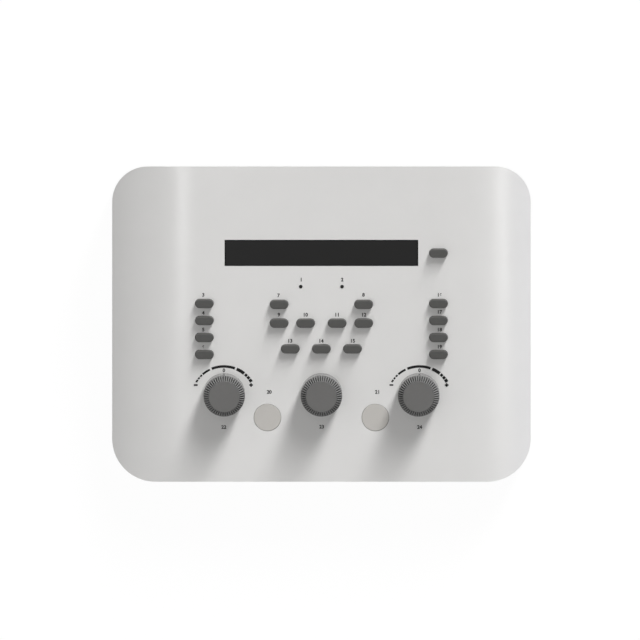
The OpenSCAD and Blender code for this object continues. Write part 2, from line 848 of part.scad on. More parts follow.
module power_inlet() {
    color("#202020") translate([inlet_x, rear_in + socket_proud, main_top + inlet_h / 2]) {
        difference() {
            translate([-inlet_w / 2, -inlet_l, -inlet_h / 2]) cube([inlet_w, inlet_l, inlet_h]);
            translate([0, -inlet_depth, 0]) rotate([-90, 0, 0])
                cylinder(d = inlet_bore_d, h = inlet_depth + cut);
        }
        translate([0, -inlet_depth - cut, 0]) rotate([-90, 0, 0])
            cylinder(d = inlet_pin_d, h = inlet_depth + cut - inlet_pin_back);
    }
}

// ---------- moving pieces ----------

// A pill-shaped key: bevelled cap, lip under the panel and a stem down into its switch.
module pill_key(x, v) {
    flat_h = key_proud - key_bevel;
    run = (key_l - key_w) / 2;
    color("#585854") on_panel() translate([x, v, 0]) {
        translate([0, 0, -wall - lip_gap]) linear_extrude(wall + lip_gap + flat_h) pill(key_l, key_w);
        translate([0, 0, flat_h]) {
            for (side = [-1, 1])
                translate([side * run, 0, 0]) cylinder(d1 = key_w, d2 = key_w - 2 * key_bevel, h = key_bevel);
            rotate([90, 0, 90]) linear_extrude(2 * run, center = true)
                polygon([
                    [-key_w / 2, 0],
                    [key_w / 2, 0],
                    [key_w / 2 - key_bevel, key_bevel],
                    [-key_w / 2 + key_bevel, key_bevel],
                ]);
        }
        translate([0, 0, -wall - lip_gap - key_lip_t])
            linear_extrude(key_lip_t) pill(key_l + 2 * key_lip, key_w + 2 * key_lip);
        translate([0, 0, -stem_low]) cylinder(d = key_stem_d, h = stem_low - wall);
    }
}

// A flush round key with its lip and stem.
module round_pad(x) {
    color("#b8b4af") on_panel() translate([x, pad_v, 0]) {
        translate([0, 0, -wall - lip_gap]) cylinder(d = pad_d, h = wall + lip_gap);
        translate([0, 0, -wall - lip_gap - pad_lip_t]) cylinder(d = pad_d + 2 * pad_lip, h = pad_lip_t);
        translate([0, 0, -pad_stem_low]) cylinder(d = pad_stem_d, h = pad_stem_low - wall);
    }
}

// The grooves that flute a knob's slanting ring, each along the slant.
module flutes() {
    ring_w = (knob_d - knob_disc_d) / 2;
    slant = atan2(ring_w, knob_ring_h);
    for (i = [0:knob_flutes - 1])
        rotate([0, 0, i * 360 / knob_flutes])
            translate([knob_d / 2 + flute_r - flute_depth, 0, knob_h - knob_ring_h - flute_run_out])
                rotate([0, -slant, 0])
                    cylinder(r = flute_r, h = norm([ring_w, knob_ring_h]) + flute_run_out, $fn = 24);
}

// A knob: smooth skirt, fluted slanting ring, a shallow seat for its disc and a well over the nut.
module knob(x) {
    shaft_r = shaft_d / 2 + shaft_gap;
    color("#6b6b69") on_panel() translate([x, knob_v, 0]) difference() {
        rotate_extrude() polygon([
            [shaft_r, knob_well_h + knob_gap],
            [knob_well_d / 2, knob_well_h + knob_gap],
            [knob_well_d / 2, knob_gap],
            [knob_d / 2, knob_gap],
            [knob_d / 2, knob_h - knob_ring_h],
            [knob_disc_d / 2, knob_h],
            [disc_seat_r, knob_h],
            [disc_seat_r, knob_h - disc_t],
            [0, knob_h - disc_t],
            [0, knob_bore_h],
            [shaft_r, knob_bore_h],
        ]);
        flutes();
    }
}

module knob_disc(x) {
    color("#6e6e6c") on_panel() translate([x, knob_v, knob_h - disc_t])
        cylinder(r = disc_seat_r - seat_gap / 2, h = disc_t + disc_proud);
}

module encoder_shaft(x) {
    color("silver") on_panel() translate([x, knob_v, -key_board_w + shaft_low])
        cylinder(d = shaft_d, h = key_board_w - shaft_low + knob_bore_h - 0.3);
}

// ---------- the assembly ----------

top_cover();
bottom_cover();
rear_panel();
rubber_feet();
casing_screws();
display_window();
window_gasket();
lcd_frame();
lcd_glass();
lcd_backlight();
lcd_board();
light_pipes();
indicator_leds();
keypad_board();
key_switches();
pad_switches();
encoder_bodies();
encoder_washers();
encoder_nuts();
board_screws();
main_board();
board_components();
capacitors();
display_ribbon();
keypad_ribbon();
phone_jacks();
jack_nuts();
usb_socket();
power_inlet();
for (k = KEYS) pill_key(k[1], k[2]);
for (p = PADS) round_pad(p[1]);
for (k = KNOBS) knob(k[1]);
for (k = KNOBS) knob_disc(k[1]);
for (k = KNOBS) encoder_shaft(k[1]);
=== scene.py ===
# %% [markdown]
# This lesson dresses a desktop audiometer, the instrument that plays test tones in a hearing test.
# Its working model is already there: a white wedge-shaped casing, a dark display window, eighteen
# pill-shaped keys, two flush round keys and three fluted knobs. We load that model as a fixed frame,
# replace the pieces whose edges need softening, print the panel and give every piece its finish.

# %% Load the working model
import json
import math

import bmesh
import bpy
from mathutils import Matrix, Vector


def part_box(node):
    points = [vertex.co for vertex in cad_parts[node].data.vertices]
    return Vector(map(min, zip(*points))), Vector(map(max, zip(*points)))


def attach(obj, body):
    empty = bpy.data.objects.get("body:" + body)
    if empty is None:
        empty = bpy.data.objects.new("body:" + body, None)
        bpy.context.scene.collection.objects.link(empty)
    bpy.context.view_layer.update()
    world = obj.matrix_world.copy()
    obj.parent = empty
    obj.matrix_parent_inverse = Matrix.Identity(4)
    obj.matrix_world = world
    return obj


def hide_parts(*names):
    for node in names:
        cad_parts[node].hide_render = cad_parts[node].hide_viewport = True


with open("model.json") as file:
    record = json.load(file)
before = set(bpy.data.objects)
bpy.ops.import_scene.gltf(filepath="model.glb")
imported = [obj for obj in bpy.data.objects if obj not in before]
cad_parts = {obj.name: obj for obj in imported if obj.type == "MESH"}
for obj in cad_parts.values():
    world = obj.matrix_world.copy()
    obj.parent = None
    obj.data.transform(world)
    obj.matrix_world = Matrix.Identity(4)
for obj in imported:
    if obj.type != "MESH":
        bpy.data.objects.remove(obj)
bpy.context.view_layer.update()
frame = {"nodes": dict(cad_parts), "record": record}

# %% [markdown]
# The panel leans 8 degrees towards the user, so its keys, knobs and print are easiest to think of in
# the panel's own flat directions: u to the right, v up the panel and w out of it. One matrix turns
# them into the model's own coordinates. The alternative, working out sines for every piece, is where
# mistakes creep in. Lengths are written in millimetres and MM makes them metres, but lamps, which
# stand far off, are placed in metres.

# %% The panel's own directions
MM = 0.001
HALF_W = 150.0
HALF_D = 113.0
LEAN = math.radians(8)
MIDDLE_HEIGHT = 51.881
PANEL = Matrix.Translation((0, 0, MIDDLE_HEIGHT * MM)) @ Matrix.Rotation(LEAN, 4, "X")
TO_PANEL = PANEL.inverted()


def on_panel(u, v, w=0.0):
    """The point u, v, w (in millimetres, from the panel's middle) in the model's coordinates."""
    return PANEL @ Vector((u * MM, v * MM, w * MM))


KNOB_V = -50.2
DISC_TOP = 18.1

# %% [markdown]
# The photograph looks straight down on the instrument, with no perspective to speak of. An
# orthographic camera gives that. Its scale is the width of the picture in metres: the casing is
# 300 mm wide and fills 418.5 of 640 pixels.

# %% Camera above the panel
PIXELS = 640
VIEW_WIDTH = 0.45875
camera_data = bpy.data.cameras.new("overhead")
camera_data.type = "ORTHO"
camera_data.ortho_scale = VIEW_WIDTH
camera = bpy.data.objects.new("overhead", camera_data)
bpy.context.scene.collection.objects.link(camera)
camera.location = (-1.0 * MM, 2.94 * MM, 1.0)
bpy.context.scene.camera = camera
print("one pixel is", round(VIEW_WIDTH / PIXELS / MM, 4), "mm")

# %% [markdown]
# Light: the photograph's shadows run to the lower left, start dark and fade slowly over a long way.
# One round sun would give them one even edge. A tall narrow window low in the back right gives this
# fade, so five soft suns are stacked into one, each a little higher than the last. Every sun's share
# of the panel's light is written down, and its strength follows from how flat it strikes the panel.
# Mirrored in a satin casing, suns would be white spots where the real window is a mild sheen, so
# mirrors don't see them. A sixth, weak sun that only mirrors see stands for that sheen.
# The view transform is Standard, so colours stay as they are written.

# %% A tall low window of light
scene = bpy.context.scene
scene.view_settings.view_transform = "Standard"


def lamp(name, kind, energy, place, aim, **shape):
    """A lamp at place that looks at aim."""
    data = bpy.data.lights.new(name, kind)
    data.energy = energy
    for key, value in shape.items():
        setattr(data, key, value)
    obj = bpy.data.objects.new(name, data)
    scene.collection.objects.link(obj)
    obj.location = place
    obj.rotation_euler = (Vector(place) - Vector(aim)).to_track_quat("Z", "Y").to_euler()
    obj.visible_camera = False
    return obj


WINDOW_SIDE = Vector((0.39, 0.92, 0)).normalized()
# Height above the panel, share of its light and apparent size, in degrees, W/m2 and degrees.
WINDOW = [(7, 0.06, 9), (11, 0.30, 16), (17, 0.34, 16), (24, 0.34, 16), (32, 0.32, 16)]
GLINT = (24, 0.3, 12)


def window_sun(name, height, strength, breadth):
    """A sun in the window, at a height above the panel."""
    lift = math.radians(height)
    from_here = PANEL.to_3x3() @ (WINDOW_SIDE * math.cos(lift) + Vector((0, 0, math.sin(lift))))
    return lamp(name, "SUN", strength, from_here, (0, 0, 0), angle=math.radians(breadth))


for height, share, breadth in WINDOW:
    sun = window_sun(f"window_sun_{height}", height, share / math.sin(math.radians(height)), breadth)
    sun.visible_glossy = False
window_sun("window_glint", *GLINT).visible_diffuse = False
print(len(WINDOW), "suns light the panel with", round(sum(share for _, share, _ in WINDOW), 2), "W/m2 in all")

# %% [markdown]
# Two pale bands run down the curved flanks in the photograph: mirrored strip lamps. To place them,
# follow the camera's straight-down look at a spot of the flank, mirror it in the surface there and
# walk along it up to the lamp. They only add shine, so they are hidden from diffuse rays.

# %% Two strip lamps that the flanks mirror
FLAT_HALF = 84.0
FLANK_R = 151.0


def flank_drop(u):
    """How far the panel's surface lies below its middle, at a distance u from the centre line."""
    over = abs(u) - FLAT_HALF
    return 0.0 if over <= 0 else FLANK_R - math.sqrt(FLANK_R ** 2 - over ** 2)


def flank_normal(u):
    """The outward direction of the panel's surface at a distance u from the centre line."""
    over = math.copysign(max(0.0, abs(u) - FLAT_HALF), u) / FLANK_R
    return PANEL.to_3x3() @ Vector((over, 0, math.sqrt(1 - over * over)))


def mirrored(u, v, height):
    """The point at a height that someone looking straight down sees mirrored at u, v."""
    n = flank_normal(u)
    ray = 2 * n.z * n - Vector((0, 0, 1))
    spot = on_panel(u, v)
    return spot + ray * ((height - spot.z) / ray.z)


LAMP_HEIGHT = 2.0
# The place of each band, where it ends towards the user, the lamp's width in metres and its power.
STRIPS = {"strip_left": (-99.0, 36.0, 0.07, 1.55), "strip_right": (129.3, -20.0, 0.06, 2.0)}
for name, (u, v_end, width, power) in STRIPS.items():
    near, far = mirrored(u, v_end, LAMP_HEIGHT), mirrored(u, 260.0, LAMP_HEIGHT)
    length = (far - near).length
    strip = lamp(name, "AREA", power, (near + far) / 2, mirrored(u, 130.0, 0.2),
                 shape="RECTANGLE", size=width, size_y=length)
    strip.visible_diffuse = False
    print(name, "is", round(length, 2), "m long, at", [round(x, 2) for x in (near + far) / 2])

# %% [markdown]
# Light this low would bleach the rear wall, which faces it squarely. A photographer hangs a net in
# front of such a wall, low enough that the panel keeps its full light. Ours is a strip that follows
# the casing closely, from its left side round the rear to its right side, and lets three tenths of the
# light through. It only casts shadow: no camera or mirror sees it, and it fades out along the sides.

# %% A net behind the casing
NET_START = 20.0
NET_TURN_R = 27.0
NET_STEPS = 24
SIDE_X, REAR_Y = HALF_W + 1.5, HALF_D + 1.5
TURN_X, TURN_Y = SIDE_X - NET_TURN_R, REAR_Y - NET_TURN_R


def points_in(geom):
    """The vertices among what an operator made."""
    return [g for g in geom if isinstance(g, bmesh.types.BMVert)]


def run_on(bm, edge, move=None, centre=None):
    """Sweeps the last edge of the strip straight on, or round a quarter turn."""
    if move:
        made = bmesh.ops.extrude_edge_only(bm, edges=[edge])["geom"]
        bmesh.ops.translate(bm, verts=points_in(made), vec=Vector(move) * MM)
    else:
        made = bmesh.ops.spin(bm, geom=[edge, *edge.verts], cent=Vector(centre) * MM, axis=(0, 0, 1),
                              angle=-math.pi / 2, steps=12)["geom_last"]
    return next(g for g in made if isinstance(g, bmesh.types.BMEdge)
                and abs(g.verts[0].co.z - g.verts[1].co.z) > 0.05)


bm = bmesh.new()
foot, head = [bm.verts.new((-SIDE_X * MM, NET_START * MM, z)) for z in (0, 0.08)]
edge = bm.edges.new((foot, head))
edge = run_on(bm, edge, move=(0, TURN_Y - NET_START, 0))
edge = run_on(bm, edge, centre=(-TURN_X, TURN_Y, 0))
for _ in range(NET_STEPS):
    edge = run_on(bm, edge, move=(2 * TURN_X / NET_STEPS, 0, 0))
edge = run_on(bm, edge, centre=(TURN_X, TURN_Y, 0))
edge = run_on(bm, edge, move=(0, NET_START - TURN_Y, 0))
net_mesh = bpy.data.meshes.new("net")
bm.to_mesh(net_mesh)
bm.free()
print("net: a strip of", len(net_mesh.polygons), "faces")

# %% The net's weave
NET_LETS = 0.30
net = bpy.data.objects.new("net", net_mesh)
scene.collection.objects.link(net)
net.visible_camera = net.visible_diffuse = net.visible_glossy = net.visible_transmission = False
net_mat = bpy.data.materials.new("net")
net_mat.use_nodes = True
tree = net_mat.node_tree
tree.nodes.clear()
place = tree.nodes.new("ShaderNodeTexCoord")
split = tree.nodes.new("ShaderNodeSeparateXYZ")
fade = tree.nodes.new("ShaderNodeMapRange")
weave = tree.nodes.new("ShaderNodeBsdfTransparent")
out = tree.nodes.new("ShaderNodeOutputMaterial")
fade.interpolation_type = "SMOOTHSTEP"
for key, value in (("From Min", 0.03), ("From Max", 0.11), ("To Min", 1.0), ("To Max", NET_LETS)):
    fade.inputs[key].default_value = value
tree.links.new(place.outputs["Object"], split.inputs[0])
tree.links.new(split.outputs["Y"], fade.inputs["Value"])
tree.links.new(fade.outputs["Result"], weave.inputs["Color"])
tree.links.new(weave.outputs[0], out.inputs["Surface"])
net_mesh.materials.append(net_mat)
print("the weave lets", NET_LETS, "of the light through")

# %% The net's upper edge
def rim_height(x, y):
    """The height of the casing's upper edge beside a point of the net, in millimetres."""
    drop = flank_drop(abs(x) / MM * HALF_W / SIDE_X)
    v = (y / MM * HALF_D / REAR_Y - drop * math.sin(LEAN)) / math.cos(LEAN)
    return MIDDLE_HEIGHT + v * math.sin(LEAN) - drop * math.cos(LEAN)


for v in net_mesh.vertices:
    if v.co.z > 0.05:
        v.co.z = (rim_height(v.co.x, v.co.y) + 0.25) * MM
tops = [v.co.z / MM for v in net_mesh.vertices if v.co.z > 0.01]
print("net: from", round(min(tops), 1), "to", round(max(tops), 1), "mm high")

# %% [markdown]
# Everything else is a pale surrounding. The camera sees it pure white. What is mirrored from steeply
# above is pale over the panel and to its left, black at the far left, dark to the right and blue at the
# far right: that shades the outer flanks in the photograph. The direction of a ray is the Generated
# coordinate of a world, so its x says how far right it goes and its z how steeply. The fill, which
# lights the panel along with the window, is stronger from the left and the front.

# %% Pale surroundings
world = bpy.data.worlds.new("studio")
scene.world = world
world.use_nodes = True
w_nodes, w_links = world.node_tree.nodes, world.node_tree.links
w_nodes.clear()


def w_node(kind, **settings):
    """A node of the world, with some of its settings."""
    node = w_nodes.new(kind)
    for key, value in settings.items():
        setattr(node, key, value)
    return node


print("the world starts empty, with", len(w_nodes), "nodes")

# %% What camera, mirrors and the panel see of it
FILL = 0.365
FILL_LEANS = (-0.62, -0.45, 0.0)
PALE = (1.0, 0.99, 0.97, 1)
rays = w_node("ShaderNodeLightPath")
direction = w_node("ShaderNodeTexCoord")
parts = w_node("ShaderNodeSeparateXYZ")
span = w_node("ShaderNodeMapRange")
span.inputs["From Min"].default_value = -1
mirror_tint = w_node("ShaderNodeValToRGB")
stops = mirror_tint.color_ramp.elements
stops[0].position, stops[0].color = 0.125, (0.0, 0.0, 0.0, 1)
stops[1].position, stops[1].color = 0.178, PALE
for place, tint in ((0.55, PALE), (0.63, (0.06, 0.06, 0.06, 1)), (0.80, (0.04, 0.05, 0.08, 1)),
                    (0.86, (0.03, 0.12, 0.55, 1))):
    stops.new(place).color = tint
steep = w_node("ShaderNodeMapRange", interpolation_type="SMOOTHSTEP")
steep.inputs["From Min"].default_value = 0.38
steep.inputs["From Max"].default_value = 0.54
around = w_node("ShaderNodeMix", data_type="RGBA")
around.inputs["A"].default_value = (0.92, 0.92, 0.92, 1)
mirrored_light = w_node("ShaderNodeBackground")
fill = w_node("ShaderNodeBackground")
towards = w_node("ShaderNodeVectorMath", operation="DOT_PRODUCT")
towards.inputs[1].default_value = FILL_LEANS
fill_level = w_node("ShaderNodeMath", operation="MULTIPLY_ADD")
fill_level.inputs[1].default_value = fill_level.inputs[2].default_value = FILL
fill.inputs["Color"].default_value = (1, 1, 1, 1)
white = w_node("ShaderNodeBackground")
white.inputs["Color"].default_value = (1, 1, 1, 1)
white.inputs["Strength"].default_value = 1.0
shiny = w_node("ShaderNodeMath", operation="MAXIMUM")
for_shine, for_camera = w_node("ShaderNodeMixShader"), w_node("ShaderNodeMixShader")
out = w_node("ShaderNodeOutputWorld")
for a, b in (
    (direction.outputs["Generated"], parts.inputs[0]), (direction.outputs["Generated"], towards.inputs[0]),
    (parts.outputs["X"], span.inputs["Value"]), (parts.outputs["Z"], steep.inputs["Value"]),
    (span.outputs["Result"], mirror_tint.inputs[0]), (mirror_tint.outputs["Color"], around.inputs["B"]),
    (steep.outputs["Result"], around.inputs["Factor"]),
    (around.outputs["Result"], mirrored_light.inputs["Color"]),
    (towards.outputs["Value"], fill_level.inputs[0]), (fill_level.outputs[0], fill.inputs["Strength"]),
    (rays.outputs["Is Glossy Ray"], shiny.inputs[0]), (rays.outputs["Is Transmission Ray"], shiny.inputs[1]),
    (shiny.outputs[0], for_shine.inputs[0]), (fill.outputs[0], for_shine.inputs[1]),
    (mirrored_light.outputs[0], for_shine.inputs[2]), (rays.outputs["Is Camera Ray"], for_camera.inputs[0]),
    (for_shine.outputs[0], for_camera.inputs[1]), (white.outputs[0], for_camera.inputs[2]),
    (for_camera.outputs[0], out.inputs["Surface"]),
):
    w_links.new(a, b)
print("fill light:", FILL, "overhead, more from the left and the front, less from the right and the rear")

# %% [markdown]
# A finish is never one flat colour. Each one here mixes two near shades with a soft noise, varies
# its gloss a little and adds the fine grain that a spark-eroded mould leaves. The noise reads Object
# coordinates, which are metres here, so a scale of 2500 is a grain of about 0.4 mm.

# %% A helper for finishes
def noise(tree, scale, detail=2.0, stretch=(1, 1, 1)):
    """A noise texture on Object coordinates."""
    place = tree.nodes.new("ShaderNodeTexCoord")
    turn = tree.nodes.new("ShaderNodeMapping")
    turn.inputs["Scale"].default_value = stretch
    grain = tree.nodes.new("ShaderNodeTexNoise")
    grain.inputs["Scale"].default_value = scale
    grain.inputs["Detail"].default_value = detail
    tree.links.new(place.outputs["Object"], turn.inputs["Vector"])
    tree.links.new(turn.outputs["Vector"], grain.inputs["Vector"])
    return grain.outputs["Fac"]


def ramp(tree, value, low_end, high_end):
    """Maps 0.3 to 0.7 of a noise onto a range."""
    span = tree.nodes.new("ShaderNodeMapRange")
    span.inputs["From Min"].default_value = 0.3
    span.inputs["From Max"].default_value = 0.7
    span.inputs["To Min"].default_value = low_end
    span.inputs["To Max"].default_value = high_end
    tree.links.new(value, span.inputs["Value"])
    return span.outputs["Result"]


def finish(name, shade, other_shade, rough, grain_scale, grain_height, mottle_scale=40, metal=0.0,
           specular=0.5, stretch=(1, 1, 1)):
    """A procedural finish: two shades, uneven gloss and a fine grain."""
    mat = bpy.data.materials.new(name)
    mat.use_nodes = True
    tree = mat.node_tree
    shader = tree.nodes["Principled BSDF"]
    shader.inputs["Metallic"].default_value = metal
    shader.inputs["Specular IOR Level"].default_value = specular
    mix = tree.nodes.new("ShaderNodeMix")
    mix.data_type = "RGBA"
    mix.inputs["A"].default_value = (*shade, 1)
    mix.inputs["B"].default_value = (*other_shade, 1)
    tree.links.new(ramp(tree, noise(tree, mottle_scale, 3), 0, 1), mix.inputs["Factor"])
    tree.links.new(mix.outputs["Result"], shader.inputs["Base Color"])
    gloss = ramp(tree, noise(tree, mottle_scale * 6, 2, stretch), *rough)
    tree.links.new(gloss, shader.inputs["Roughness"])
    bump = tree.nodes.new("ShaderNodeBump")
    bump.inputs["Strength"].default_value = 1.0
    bump.inputs["Distance"].default_value = grain_height * MM
    tree.links.new(noise(tree, grain_scale, 2, stretch), bump.inputs["Height"])
    tree.links.new(bump.outputs["Normal"], shader.inputs["Normal"])
    return mat


# %% [markdown]
# The finishes are named for what they are on the instrument. The colours are linear values that the
# photograph's greys give under this light. Metals get a metallic of 1, and the rear plate's noise is
# stretched sideways, as brushing does.

# %% Finishes
FINISH = {
    "case_white": finish("case_white", (0.80, 0.793, 0.782), (0.785, 0.778, 0.767),
                         (0.20, 0.25), 2600, 0.002),
    "key_grey": finish("key_grey", (0.088, 0.088, 0.084), (0.082, 0.082, 0.078),
                       (0.50, 0.60), 3600, 0.003, 90, specular=0.4),
    "pad_grey": finish("pad_grey", (0.585, 0.565, 0.535), (0.57, 0.55, 0.52),
                       (0.45, 0.55), 3600, 0.005, 80),
    "knob_grey": finish("knob_grey", (0.215, 0.215, 0.212), (0.198, 0.198, 0.195),
                        (0.16, 0.22), 3600, 0.0012, 90),
    "disc_grey": finish("disc_grey", (0.150, 0.148, 0.144), (0.144, 0.142, 0.138),
                        (0.5, 0.6), 3600, 0.004, 60),
    "window_dark": finish("window_dark", (0.0187, 0.0187, 0.0187), (0.0178, 0.0178, 0.0178),
                          (0.28, 0.34), 4000, 0.001, 30, specular=0.12),
    "window_border": finish("window_border", (0.006, 0.006, 0.006), (0.005, 0.005, 0.005),
                            (0.28, 0.34), 4000, 0.001, 30, specular=0.12),
    "foam_black": finish("foam_black", (0.02, 0.02, 0.02), (0.012, 0.012, 0.012),
                         (0.85, 0.95), 1500, 0.06),
    "foot_rubber": finish("foot_rubber", (0.035, 0.035, 0.036), (0.028, 0.028, 0.029),
                          (0.6, 0.75), 1800, 0.02),
    "plate_metal": finish("plate_metal", (0.66, 0.66, 0.665), (0.60, 0.60, 0.61),
                          (0.28, 0.42), 900, 0.004, 30, 1.0, stretch=(0.04, 1, 1)),
    "screw_steel": finish("screw_steel", (0.58, 0.58, 0.57), (0.50, 0.50, 0.50),
                          (0.25, 0.4), 2500, 0.003, 200, 1.0),
    "board_green": finish("board_green", (0.02, 0.14, 0.06), (0.015, 0.11, 0.05),
                          (0.25, 0.4), 1500, 0.008, 120),
    "black_plastic": finish("black_plastic", (0.024, 0.024, 0.025), (0.018, 0.018, 0.019),
                            (0.35, 0.5), 2500, 0.006),
    "pipe_dark": finish("pipe_dark", (0.012, 0.012, 0.012), (0.010, 0.010, 0.010),
                        (0.2, 0.28), 2500, 0.001, 80, specular=0.3),
    "lamp_red": finish("lamp_red", (0.55, 0.06, 0.04), (0.48, 0.05, 0.035),
                       (0.1, 0.2), 2500, 0.001),
    "ribbon_grey": finish("ribbon_grey", (0.56, 0.56, 0.54), (0.50, 0.50, 0.49),
                          (0.35, 0.45), 2000, 0.003),
    "ink_black": finish("ink_black", (0.010, 0.010, 0.010), (0.016, 0.016, 0.016),
                        (0.5, 0.6), 4000, 0.001, 300, specular=0.2),
}

# %% [markdown]
# The ribs of a knob are little wider than a pixel, so what shows of them is how dark the grooves are
# and how pale the crests are. Both are painted: the grooves get painted shade, where little light
# gets in, and the crests a painted highlight that also stands for polish by fingers. The knob's mesh
# carries both in one attribute, from 0 in a groove over 0.5 on the plain skirt to 1 on a crest, and a
# ramp turns that into shades.

# %% Painted shade in the grooves and painted highlight on the crests of the knobs
tree = FINISH["knob_grey"].node_tree
shader = tree.nodes["Principled BSDF"]
plain = shader.inputs["Base Color"].links[0].from_socket
crest = tree.nodes.new("ShaderNodeAttribute")
crest.attribute_name = "crest"
# Painted shade and highlight: the plastic's shade is multiplied by 0.07 in a groove, 0.64 on the skirt and
# 0.88 on a crest, the crests partly polish.
shade = tree.nodes.new("ShaderNodeValToRGB")
shade.color_ramp.elements[0].color = (0.07, 0.07, 0.07, 1)
shade.color_ramp.elements[1].color = (0.88, 0.88, 0.88, 1)
shade.color_ramp.elements.new(0.5).color = (0.64, 0.64, 0.64, 1)
groove_shade_crest_shine = tree.nodes.new("ShaderNodeMix")
groove_shade_crest_shine.data_type = "RGBA"
groove_shade_crest_shine.blend_type = "MULTIPLY"
groove_shade_crest_shine.inputs["Factor"].default_value = 1.0
tree.links.new(crest.outputs["Fac"], shade.inputs[0])
tree.links.new(plain, groove_shade_crest_shine.inputs["A"])
tree.links.new(shade.outputs["Color"], groove_shade_crest_shine.inputs["B"])
tree.links.new(groove_shade_crest_shine.outputs["Result"], shader.inputs["Base Color"])

# %% [markdown]
# The inner pieces and the screws keep the working model's meshes, which are good enough for what is
# seldom seen. They still get their finish: each node's slot in the record says which.

# %% Finishes of the pieces that stay as they are
slot_of = {part["node"]: part["material_slot"] for part in frame["record"]["subparts"]}
for node, obj in frame["nodes"].items():
    for i in range(len(obj.data.materials)):
        obj.data.materials[i] = FINISH[slot_of[node]]
print("finishes:", ", ".join(FINISH))

# %% [markdown]
# Real mouldings have no knife edges: a small radius runs round every rim and catches the light. The
# working model has sharp edges, so a copy of such a piece is merged, its flat areas are joined and
# the chosen edges are bevelled. Flats must still shade flat between the bevels. The Weighted Normal
# modifier can do that, but here the normals are written straight into the mesh, because the curved
# flanks also need their true normals and both then come from one place.

# %% Helpers that copy a piece and soften its edges
def copy_of(node):
    """A bmesh of a working piece: its loose triangles merged."""
    bm = bmesh.new()
    bm.from_mesh(frame["nodes"][node].data)
    bmesh.ops.remove_doubles(bm, verts=bm.verts, dist=2e-6)
    return bm


def join_flats(bm, angle=0.15):
    """Joins triangles that lie in one plane, to within an angle in degrees."""
    bmesh.ops.dissolve_limit(bm, angle_limit=math.radians(angle), verts=bm.verts, edges=bm.edges)
    bm.normal_update()


def bevel(bm, edges, width, steps):
    """Rounds edges to a radius of about width millimetres."""
    bmesh.ops.bevel(bm, geom=edges, offset=width * MM, offset_type="OFFSET", segments=steps, profile=0.5,
                    affect="EDGES", clamp_overlap=True, material=-1)


def corners(bm, angle, wanted):
    """The outward edges sharper than an angle whose middle passes a test."""
    return [e for e in bm.edges if e.is_convex and len(e.link_faces) == 2
            and e.calc_face_angle() > math.radians(angle) and wanted((e.verts[0].co + e.verts[1].co) / 2)]


def even_normals(mesh, angle, true_normal=None):
    """Normals weighted by area within a smooth angle, or the surface's own where it is known."""
    bm = bmesh.new()
    bm.from_mesh(mesh)
    limit = math.cos(math.radians(angle))
    area = {f: f.calc_area() for f in bm.faces}
    normals = []
    for f in bm.faces:
        for corner in f.loops:
            known = true_normal(corner.vert.co) if true_normal else None
            if known is None or known.dot(f.normal) < 0.8:
                known = Vector()
                for g in corner.vert.link_faces:
                    if g.normal.dot(f.normal) > limit:
                        known += g.normal * area[g]
            normals.append(known.normalized())
    bm.free()
    mesh.shade_smooth()
    mesh.normals_split_custom_set(normals)


def piece_from(bm, name, material, body, replaces=None, smooth_angle=35, true_normal=None):
    """Turns a bmesh into a finished piece that rides on a body."""
    mesh = bpy.data.meshes.new(name)
    bm.to_mesh(mesh)
    bm.free()
    even_normals(mesh, smooth_angle, true_normal)
    for key in (material if isinstance(material, tuple) else (material,)):
        mesh.materials.append(FINISH[key])
    obj = bpy.data.objects.new(name, mesh)
    scene.collection.objects.link(obj)
    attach(obj, body)
    if replaces:
        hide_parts(replaces)
    return obj


# %% [markdown]
# The top cover carries the whole look. Its middle is flat and each flank falls along an arc of
# 151 mm. The copied mesh has only a few facets on that arc, so it is cut into narrow strips with
# bisect_plane and the new points are lifted onto the true arc. Then the outer rim gets its radius.

# %% Top cover
def off_skin(co):
    """How far a point stands out of the panel's outer surface, in millimetres."""
    p = TO_PANEL @ co
    return p.z / MM + flank_drop(p.x / MM)


def skin_normal(co):
    """The surface's own direction at a point of the skin, and nothing elsewhere."""
    return flank_normal(co.x / MM) if abs(off_skin(co)) < 0.005 else None


CUTS = 32
CUT_EVERY = 2.0
RIM_R = 1.3
SKIRT_W = -20.0
bm = copy_of("top_cover")
for side in (-1, 1):
    for i in range(CUTS):
        u = side * (FLAT_HALF + (i + 1) * CUT_EVERY)
        bmesh.ops.bisect_plane(bm, geom=bm.verts[:] + bm.edges[:] + bm.faces[:], dist=1e-7,
                               plane_co=(u * MM, 0, 0), plane_no=(1, 0, 0))
lifted = 0
for v in bm.verts:
    miss = off_skin(v.co)
    if abs(v.co.x) > FLAT_HALF * MM and abs(miss) < 0.12:
        v.co = v.co - PANEL.to_3x3() @ Vector((0, 0, miss * MM))
        lifted += 1
join_flats(bm)


def at_outside(co):
    """Whether a point lies beyond all keys and knobs."""
    return abs(co.x) > 0.1 or abs(co.y) > 0.1


rim = corners(bm, 25, lambda co: abs(off_skin(co)) < 0.02 and at_outside(co))
print("top cover:", lifted, "points lifted,", len(rim), "rim edges")
bevel(bm, rim, RIM_R, 5)
skirt = corners(bm, 60, lambda co: abs((TO_PANEL @ co).z - SKIRT_W * MM) < 0.02 * MM)
bevel(bm, skirt, 0.35, 2)
openings = corners(bm, 60, lambda co: abs(off_skin(co)) < 0.02 and not at_outside(co))
bevel(bm, openings, 0.12, 2)
print("skirt edges:", len(skirt), "opening edges:", len(openings))
piece_from(bm, "top_cover_shell", "case_white", "casing", replaces="top_cover", true_normal=skin_normal)

# %% [markdown]
# The base stands half a millimetre inside the cover, so a fine shadow line parts the two. Its lower
# edge has a generous radius, as a moulding that is lifted and put down has, and the opening for the
# sockets is softened.

# %% Base
FRONT_CORNER_R = 30.5
REAR_CORNER_R = 25.0
BASE_FLOOR = 3.0
bm = copy_of("bottom_cover")
join_flats(bm)
base_w, base_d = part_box("bottom_cover")[1][:2]


